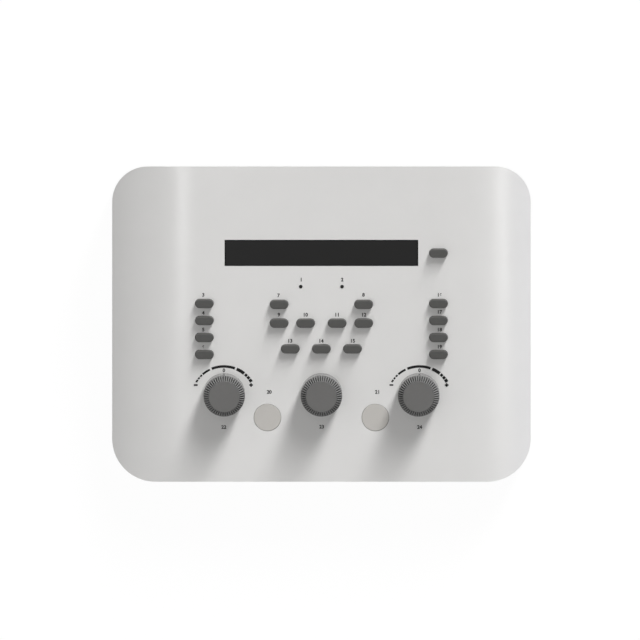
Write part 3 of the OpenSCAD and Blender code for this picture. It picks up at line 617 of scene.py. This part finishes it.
def at_base_side(co, reach=0.6):
    """Whether a point lies on the base's outer wall."""
    x, y = abs(co.x), abs(co.y)
    r = (REAR_CORNER_R if co.y > 0 else FRONT_CORNER_R) * MM
    if x < base_w - r or y < base_d - r:
        return x > base_w - reach * MM or y > base_d - reach * MM
    return math.hypot(x - base_w + r, y - base_d + r) > r - reach * MM


foot_edge = corners(bm, 60, lambda co: abs(co.z - BASE_FLOOR * MM) < 0.02 * MM and at_base_side(co))
bevel(bm, foot_edge, 1.4, 4)
upper_edge = corners(bm, 60, lambda co: co.z > 12 * MM and at_base_side(co))
bevel(bm, upper_edge, 0.3, 2)
print("base:", len(foot_edge), "lower edges,", len(upper_edge), "upper and opening edges")
piece_from(bm, "base_shell", "case_white", "casing", replaces="bottom_cover")

# %% [markdown]
# The display window is a smoked sheet set flush in the panel. Its top face is inset, and its outer
# band gets a darker finish than its middle.

# %% Display window
BORDER = 0.75
bm = copy_of("display_window")
join_flats(bm)
bevel(bm, corners(bm, 60, lambda co: True), 0.2, 2)
top = max(bm.faces, key=lambda f: f.calc_area() * (1 if f.normal.z > 0 else 0))
for f in bm.faces:
    f.material_index = 1
band = bmesh.ops.inset_region(bm, faces=[top], thickness=BORDER * MM, depth=0.0)
top.material_index = 0
print("window:", len(bm.faces), "faces,", len(band["faces"]), "in its border")
piece_from(bm, "smoked_window", ("window_dark", "window_border"), "casing", replaces="display_window")

# %% [markdown]
# Keys and round keys are moulded caps with softened top edges. Each copy keeps its lip and stem, and
# only the edges that show get a radius.

# %% Pill keys and round keys
KEYS = [node for node in frame["nodes"] if node.endswith("_key")]
PADS = [node for node in frame["nodes"] if node.endswith("_pad")]


def panel_height(co):
    """How far a point stands above the panel, in millimetres."""
    return (TO_PANEL @ co).z / MM


for node in KEYS:
    bm = copy_of(node)
    join_flats(bm)
    crown = corners(bm, 20, lambda co: panel_height(co) > 2.5)
    bevel(bm, crown, 0.22, 2)
    piece_from(bm, node + "_top", "key_grey", node + "_cap", replaces=node, smooth_angle=50)
for node in PADS:
    bm = copy_of(node)
    join_flats(bm)
    bevel(bm, corners(bm, 60, lambda co: panel_height(co) > -0.05), 0.3, 3)
    piece_from(bm, node + "_top", "pad_grey", node + "_cap", replaces=node)
print(len(KEYS), "pill keys and", len(PADS), "round keys; the last crown had", len(crown), "edges")

# %% [markdown]
# A knob is a turned shape: one half profile spun about its axis. The fine ribs around its slanting
# ring give the fingers grip. They could be cut one by one, but fifty cuts leave ragged ends, so the
# spun ring is stepped finely and its points are drawn in and out as they go round, most in the
# middle of the slant and not at all at its ends.

# %% Knobs
KNOBS = {"left_level": -69.7, "frequency": 0.0, "right_level": 69.7}
RIBS = 50
RIB_STEPS = 8
RIB_DEPTH = 0.74
DISC_R, DISC_T = 10.97, 0.9
# Distance from the axis, height above the panel and rib depth of each profile point, in millimetres.
PROFILE = [
    (0.0, 15.0, 0), (3.05, 15.0, 0), (3.05, 5.8, 0), (10.5, 5.8, 0), (10.5, 0.8, 0), (14.5, 0.8, 0),
    (14.78, 0.92, 0), (14.9, 1.2, 0), (14.9, 7.0, 0), (14.9, 12.9, 0), (14.86, 13.5, 0), (14.75, 13.9, 0.05),
    (14.6, 14.2, 0.40), (14.3, 14.6, 0.66), (13.7, 15.3, 0.74), (13.0, 16.1, 0.74), (12.4, 16.8, 0.70),
    (11.9, 17.35, 0.64), (11.6, 17.65, 0.46), (11.4, 17.84, 0.18), (11.25, 17.93, 0.04), (11.12, 17.97, 0),
    (11.04, 17.94, 0), (11.02, 17.85, 0), (11.02, 17.2, 0), (0.0, 17.2, 0),
]
print(RIBS, "ribs on a profile of", len(PROFILE), "points")

# %% Turning an outline
def outline(bm, points):
    """A chain of edges through points, each its distance from the axis and its height."""
    chain = [bm.verts.new((r * MM, 0, z * MM)) for r, z in points]
    for a, b in zip(chain, chain[1:]):
        bm.edges.new((a, b))
    return chain


def spun(bm, steps):
    """Spins an outline a full turn about the axis and closes it."""
    bmesh.ops.spin(bm, geom=bm.verts[:] + bm.edges[:], cent=(0, 0, 0), axis=(0, 0, 1),
                   angle=2 * math.pi, steps=steps, use_merge=True)
    bmesh.ops.remove_doubles(bm, verts=bm.verts, dist=1e-6)
    bmesh.ops.recalc_face_normals(bm, faces=bm.faces)


# %% [markdown]
# The knob's outline carries the rib depth of each point through the spin. After it, each point moves
# in by its depth where a groove passes and stays put on the crests.

# %% One knob and its three places
knob = bmesh.new()
depth_layer = knob.verts.layers.float.new("rib_depth")
for point, (r, w, depth) in zip(outline(knob, [p[:2] for p in PROFILE]), PROFILE):
    point[depth_layer] = depth * MM
spun(knob, RIBS * RIB_STEPS)
crest_layer = knob.verts.layers.float.new("crest")
for v in knob.verts:
    turn = math.atan2(v.co.y, v.co.x)
    groove = 0.5 + 0.5 * math.cos(turn * RIBS)
    groove = groove * groove * (3 - 2 * groove)
    strength = v[depth_layer] / (RIB_DEPTH * MM)
    v[crest_layer] = 0.5 + (0.5 - groove) * strength
    out = Vector((v.co.x, v.co.y, 0)).normalized()
    v.co -= (out * 0.7 + Vector((0, 0, 0.7))) * (v[depth_layer] * groove)
for name, u in KNOBS.items():
    bm = knob.copy()
    axis = PANEL @ Matrix.Translation((u * MM, KNOB_V * MM, 0))
    bmesh.ops.transform(bm, matrix=axis, verts=bm.verts)
    piece_from(bm, name + "_ribbed_knob", "knob_grey", name + "_dial", replaces=name + "_knob",
               smooth_angle=70)
    bm = bmesh.new()
    bmesh.ops.create_cone(bm, cap_ends=True, segments=128, radius1=DISC_R * MM, radius2=DISC_R * MM,
                          depth=DISC_T * MM)
    middle = Matrix.Translation((0, 0, (DISC_TOP - DISC_T / 2) * MM))
    bmesh.ops.transform(bm, matrix=axis @ middle, verts=bm.verts)
    bevel(bm, corners(bm, 60, lambda co: panel_height(co) > 18.0), 0.12, 2)
    piece_from(bm, name + "_disc_top", "disc_grey", name + "_dial", replaces=name + "_disc")
print("each knob has", len(knob.faces), "faces")
knob.free()

# %% [markdown]
# The panel print: plain numerals in place of words, and over each level knob an arc that grows from
# thin dashes at the minus sign to bold squares at the plus sign. Ink has almost no thickness, so the
# shapes are thin plates that stand 0.03 mm out of the panel.

# %% Shapes of ink
INK_H = 0.03
ARC_R = 22.94
CENTRE_PX = (321.4, 324.1)


def ink_arc(bm, centre, radius, width, start, end):
    """A stretch of arc, in degrees anticlockwise from the right, as a thin plate."""
    inner = bm.verts.new((radius - width / 2, 0, 0))
    outer = bm.verts.new((radius + width / 2, 0, 0))
    edge = bm.edges.new((inner, outer))
    turned = Matrix.Rotation(math.radians(start), 3, "Z")
    bmesh.ops.rotate(bm, verts=[inner, outer], cent=(0, 0, 0), matrix=turned)
    bmesh.ops.spin(bm, geom=[inner, outer, edge], cent=(0, 0, 0), axis=(0, 0, 1),
                   angle=math.radians(end - start), steps=max(2, int(abs(end - start) / 2)))
    verts = set()
    for f in bm.faces:
        if not f.tag:
            f.tag = True
            verts.update(f.verts)
    bmesh.ops.translate(bm, verts=list(verts), vec=(*centre, 0))


def ink_bar(bm, centre, size, turn=0.0):
    """A rectangle of ink."""
    made = bmesh.ops.create_grid(bm, x_segments=1, y_segments=1, size=0.5)
    bmesh.ops.scale(bm, verts=made["verts"], vec=(*size, 1))
    turned = Matrix.Rotation(math.radians(turn), 3, "Z")
    bmesh.ops.rotate(bm, verts=made["verts"], cent=(0, 0, 0), matrix=turned)
    bmesh.ops.translate(bm, verts=made["verts"], vec=(*centre, 0))
    for f in bm.faces:
        f.tag = True


def ink_number(bm, text, centre, height):
    """A numeral whose digits are height millimetres tall, centred on a point."""
    curve = bpy.data.curves.new("numeral", "FONT")
    curve.body = text
    curve.size = 1.0
    curve.offset = 0.038
    curve.align_x = "CENTER"
    carrier = bpy.data.objects.new("numeral", curve)
    scene.collection.objects.link(carrier)
    bpy.context.view_layer.update()
    mesh = bpy.data.meshes.new_from_object(carrier)
    bpy.data.objects.remove(carrier)
    ys = [v.co.y for v in mesh.vertices]
    grow = height / (max(ys) - min(ys))
    mesh.transform(Matrix.Translation((*centre, 0)) @ Matrix.Diagonal((grow, grow, 1, 1))
                   @ Matrix.Translation((0, -(max(ys) + min(ys)) / 2, 0)))
    bm.from_mesh(mesh)
    bpy.data.meshes.remove(mesh)
    for f in bm.faces:
        f.tag = True


def ink_plate(bm, place):
    """Gives flat ink its thickness and puts it in place."""
    bmesh.ops.scale(bm, verts=bm.verts, vec=(MM, MM, MM))
    raised = bmesh.ops.extrude_face_region(bm, geom=bm.faces[:])
    bmesh.ops.translate(bm, verts=points_in(raised["geom"]), vec=(0, 0, INK_H * MM))
    bmesh.ops.transform(bm, matrix=place, verts=bm.verts)
    bmesh.ops.recalc_face_normals(bm, faces=bm.faces)


def pixel(px, py):
    """A point of the 640-pixel picture as u, v on the panel, in millimetres."""
    scale = VIEW_WIDTH / PIXELS / MM
    return ((px - CENTRE_PX[0]) * scale, (CENTRE_PX[1] - py) * scale / math.cos(LEAN))


# %% [markdown]
# Each arc is centred on its knob. Everything goes into one mesh, flat at first and in millimetres, and
# gets its thickness and its place on the panel in the end.

# %% Arcs and numerals
bm = bmesh.new()
# Where each dash of an arc starts and ends, in degrees anticlockwise from the right, and its width.
DASHES = [(149.9, 144.7, 1.25), (143.2, 139.3, 1.25), (137.6, 133.4, 1.3), (131.4, 115.8, 1.5),
          (112.4, 69.9, 1.85), (66.6, 50.8, 2.3)]
SQUARES = [(46.3, 2.0), (40.1, 2.1), (33.6, 2.3)]
for cx in (223.9, 419.5):
    cu, cv = pixel(cx, 398.1)
    for start, end, width in DASHES:
        ink_arc(bm, (cu, cv), ARC_R, width, end, start)
    for angle, side in SQUARES:
        a = math.radians(angle)
        ink_bar(bm, (cu + ARC_R * math.cos(a), cv + ARC_R * math.sin(a)), (side, side), angle)
    ink_bar(bm, pixel(cx - 28.1, 385), (2.7, 1.2))
    ink_bar(bm, pixel(cx + 27.2, 385), (2.6, 1.1))
    ink_bar(bm, pixel(cx + 27.2, 385), (1.1, 2.6))
    ink_number(bm, "0", pixel(cx, 370.3), 2.7)
# The places of the numerals, as pixels of the picture: lamps, keys from left to right, pads, knobs.
NUMBERS = [
    (301.2, 279.6), (342.2, 279.6),
    (203.3, 294.8), (203.3, 312.8), (203.3, 329.6), (203.3, 347.0),
    (278.5, 295.4), (363.5, 294.8), (278.8, 314.7), (305.4, 314.7), (337.1, 314.7), (363.8, 314.7),
    (290.0, 340.8), (321.1, 340.8), (352.6, 340.8),
    (439.5, 294.8), (439.5, 311.9), (439.5, 329.6), (439.5, 346.7),
    (269.2, 391.9), (377.5, 391.9),
    (223.8, 427.0), (321.7, 426.7), (419.6, 427.0),
]
for i, (px, py) in enumerate(NUMBERS):
    ink_number(bm, str(i + 1), pixel(px, py), 2.7)
ink_plate(bm, PANEL)
print("print:", len(NUMBERS), "numerals and two arcs,", len(bm.faces), "faces")
piece_from(bm, "panel_print", "ink_black", "casing")

# %% [markdown]
# The rear plate says which socket is which with plain numerals, left of each socket as someone behind
# the instrument sees it. They are made flat like the panel's, stood upright and turned to face the rear.

# %% Numerals on the rear plate
SOCKETS = (-81.0, -55.0, -29.0, -3.0, 40.0, 76.0)
BESIDE = 10.5
plate_low, plate_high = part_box("rear_panel")
plate_y, plate_z = plate_high[1], (plate_low[2] + plate_high[2]) / 2
bm = bmesh.new()
for i, x in enumerate(SOCKETS):
    ink_number(bm, str(i + 1), (-x - BESIDE, 0), 3.2)
stand = Matrix.Rotation(math.pi, 4, "Z") @ Matrix.Rotation(math.pi / 2, 4, "X")
ink_plate(bm, Matrix.Translation((0, plate_y, plate_z)) @ stand)
print("rear plate at y =", round(plate_y, 4), "numerals at z =", round(plate_z, 4))
piece_from(bm, "rear_print", "ink_black", "casing")

# %% [markdown]
# The sockets and their nuts come from turning and moulding, so the edges that show are chamfered.
# The data socket holds a plastic tongue and the power inlet a metal pin. Both are in the copied
# meshes already, and show once the small faces near each socket's axis get another finish.

# %% Sockets and nuts
def near_axis(node, reach, size):
    """A test for faces smaller than size whose middle is within reach of a socket's axis."""
    low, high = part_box(node)
    x, z = (low[0] + high[0]) / 2, (low[2] + high[2]) / 2

    def test(face):
        """Whether a face belongs to the core."""
        middle = face.calc_center_median()
        spread = max((v.co - middle).length for v in face.verts)
        return math.hypot(middle.x - x, middle.z - z) < reach * MM and spread < size * MM

    return test


def rear_piece(node, width, angle, finishes, in_core=lambda face: False):
    """Copies a rear piece, chamfers what shows and gives its core the second finish."""
    bm = copy_of(node)
    join_flats(bm)
    shown = corners(bm, angle, lambda co: co.y > plate_y - 0.2 * MM)
    bevel(bm, shown, width, 2)
    for f in bm.faces:
        f.material_index = int(in_core(f))
    print(node, "has", len(shown), "edges chamfered and", sum(f.material_index for f in bm.faces),
          "core faces")
    piece_from(bm, node + "_trim", finishes, "casing", replaces=node, smooth_angle=40)


rear_piece("jack_nuts", 0.3, 20, ("screw_steel",))
rear_piece("phone_jacks", 0.3, 60, ("black_plastic",))
rear_piece("usb_socket", 0.12, 60, ("plate_metal", "black_plastic"), near_axis("usb_socket", 3.2, 9))
rear_piece("power_inlet", 0.25, 60, ("black_plastic", "screw_steel"), near_axis("power_inlet", 1.3, 6))

# %% [markdown]
# The feet are moulded rubber, glued into shallow recesses: a rounded tread ring with a dished middle,
# which grips a table like a suction cup. Each one is half a profile spun about its axis.

# %% Feet
FOOT_X, FOOT_Y = 111.6, 90.6
FOOT = [(0.0, 0.7), (4.4, 0.7), (4.9, 0.55), (5.2, 0.15), (5.5, 0.0), (6.1, 0.0), (6.6, 0.18),
        (6.9, 0.55), (7.0, 1.1), (7.0, 4.0), (0.0, 4.0)]
one = bmesh.new()
outline(one, FOOT)
spun(one, 64)
foot_mesh = bpy.data.meshes.new("foot")
one.to_mesh(foot_mesh)
one.free()
bm = bmesh.new()
for x, y in ((-FOOT_X, -FOOT_Y), (FOOT_X, -FOOT_Y), (-FOOT_X, FOOT_Y), (FOOT_X, FOOT_Y)):
    before = len(bm.verts)
    bm.from_mesh(foot_mesh)
    bmesh.ops.translate(bm, verts=bm.verts[before:], vec=(x * MM, y * MM, 0))
bpy.data.meshes.remove(foot_mesh)
piece_from(bm, "moulded_feet", "foot_rubber", "casing", replaces="rubber_feet", smooth_angle=50)

# %% [markdown]
# The floor is a plain pale sheet. It shows white to the camera, and a part of its brightness comes
# from the lamps, so it keeps a soft shadow of the instrument.

# %% Floor
FLOOR_W = 6.0
floor_mesh = bpy.data.meshes.new("floor")
bm = bmesh.new()
bmesh.ops.create_grid(bm, x_segments=1, y_segments=1, size=FLOOR_W / 2)
bm.to_mesh(floor_mesh)
bm.free()
floor_mesh.transform(Matrix.Translation((0, 0, -0.1 * MM)))
floor = bpy.data.objects.new("floor", floor_mesh)
scene.collection.objects.link(floor)
floor_mat = bpy.data.materials.new("floor_pale")
floor_mat.use_nodes = True
tree = floor_mat.node_tree
tree.nodes.clear()
rays = tree.nodes.new("ShaderNodeLightPath")
sheet = tree.nodes.new("ShaderNodeBsdfDiffuse")
sheet.inputs["Color"].default_value = (0.6, 0.6, 0.6, 1)
glow = tree.nodes.new("ShaderNodeEmission")
glow.inputs["Color"].default_value = (1, 1, 1, 1)
both = tree.nodes.new("ShaderNodeAddShader")
pick = tree.nodes.new("ShaderNodeMixShader")
out = tree.nodes.new("ShaderNodeOutputMaterial")
shown = tree.nodes.new("ShaderNodeBsdfDiffuse")
shown.inputs["Color"].default_value = (0.05, 0.05, 0.05, 1)
glow.inputs["Strength"].default_value = 0.962
tree.links.new(glow.outputs[0], both.inputs[0])
tree.links.new(shown.outputs[0], both.inputs[1])
seen = tree.nodes.new("ShaderNodeMath")
mirrored_too = tree.nodes.new("ShaderNodeMath")
seen.operation = mirrored_too.operation = "MAXIMUM"
tree.links.new(rays.outputs["Is Glossy Ray"], mirrored_too.inputs[0])
tree.links.new(rays.outputs["Is Transmission Ray"], mirrored_too.inputs[1])
tree.links.new(rays.outputs["Is Camera Ray"], seen.inputs[0])
tree.links.new(mirrored_too.outputs[0], seen.inputs[1])
tree.links.new(seen.outputs[0], pick.inputs[0])
tree.links.new(sheet.outputs[0], pick.inputs[1])
tree.links.new(both.outputs[0], pick.inputs[2])
tree.links.new(pick.outputs[0], out.inputs["Surface"])
floor_mesh.materials.append(floor_mat)
print("floor: a sheet", FLOOR_W, "m wide")
